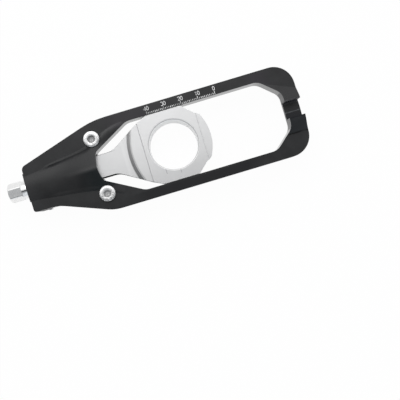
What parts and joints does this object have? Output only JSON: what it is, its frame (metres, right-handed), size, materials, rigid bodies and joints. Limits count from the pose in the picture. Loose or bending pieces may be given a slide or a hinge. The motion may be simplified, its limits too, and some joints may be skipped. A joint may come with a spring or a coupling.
{
  "type": "motorcycle chain adjuster",
  "caption": "Swingarm chain adjuster: a slotted billet plate with a captive tension screw that draws a slider with the axle hole along its window.",
  "frame": {"origin": "centre of the axle hole at the back face, with the slider at its rest place", "axes": "+X from the tension screw's head to the far end of the window, +Z out of the front along the axle"},
  "size_m": [0.174, 0.052, 0.0205],
  "materials": {
    "black_anodised": "fine satin black anodising on machined billet",
    "silver_anodised": "satin clear anodising",
    "bright_screw": "bright zinc",
    "bronze": "plain turned",
    "polished_steel": "turned and polished",
    "spring_steel": "blackened spring steel"
  },
  "bodies": {
    "plate": {"outer_plate": "black_anodised", "head_cover": "silver_anodised", "cover_screw_upper": "bright_screw", "cover_screw_lower": "bright_screw", "screw_bush": "bronze", "thrust_washer": "polished_steel"},
    "screw": {"tension_screw": "polished_steel", "retaining_ring": "spring_steel"},
    "slider": {"axle_slider": "silver_anodised", "stem_insert": "polished_steel"}
  },
  "joints": [
    {"name": "screw_turn", "type": "hinge", "parent": "plate", "child": "screw", "pos_m": [-0.0861, 0, 0.0103], "axis": [-1, 0, 0], "range_deg": [-2737, 8785]},
    {"name": "slider_travel", "type": "slide", "parent": "plate", "child": "slider", "axis": [1, 0, 0], "range_m": [-0.0095, 0.0305]}
  ],
  "couplings": [
    {"joint": "screw_turn", "follows": "slider_travel", "rad_per_m": 5026.5}
  ]
}
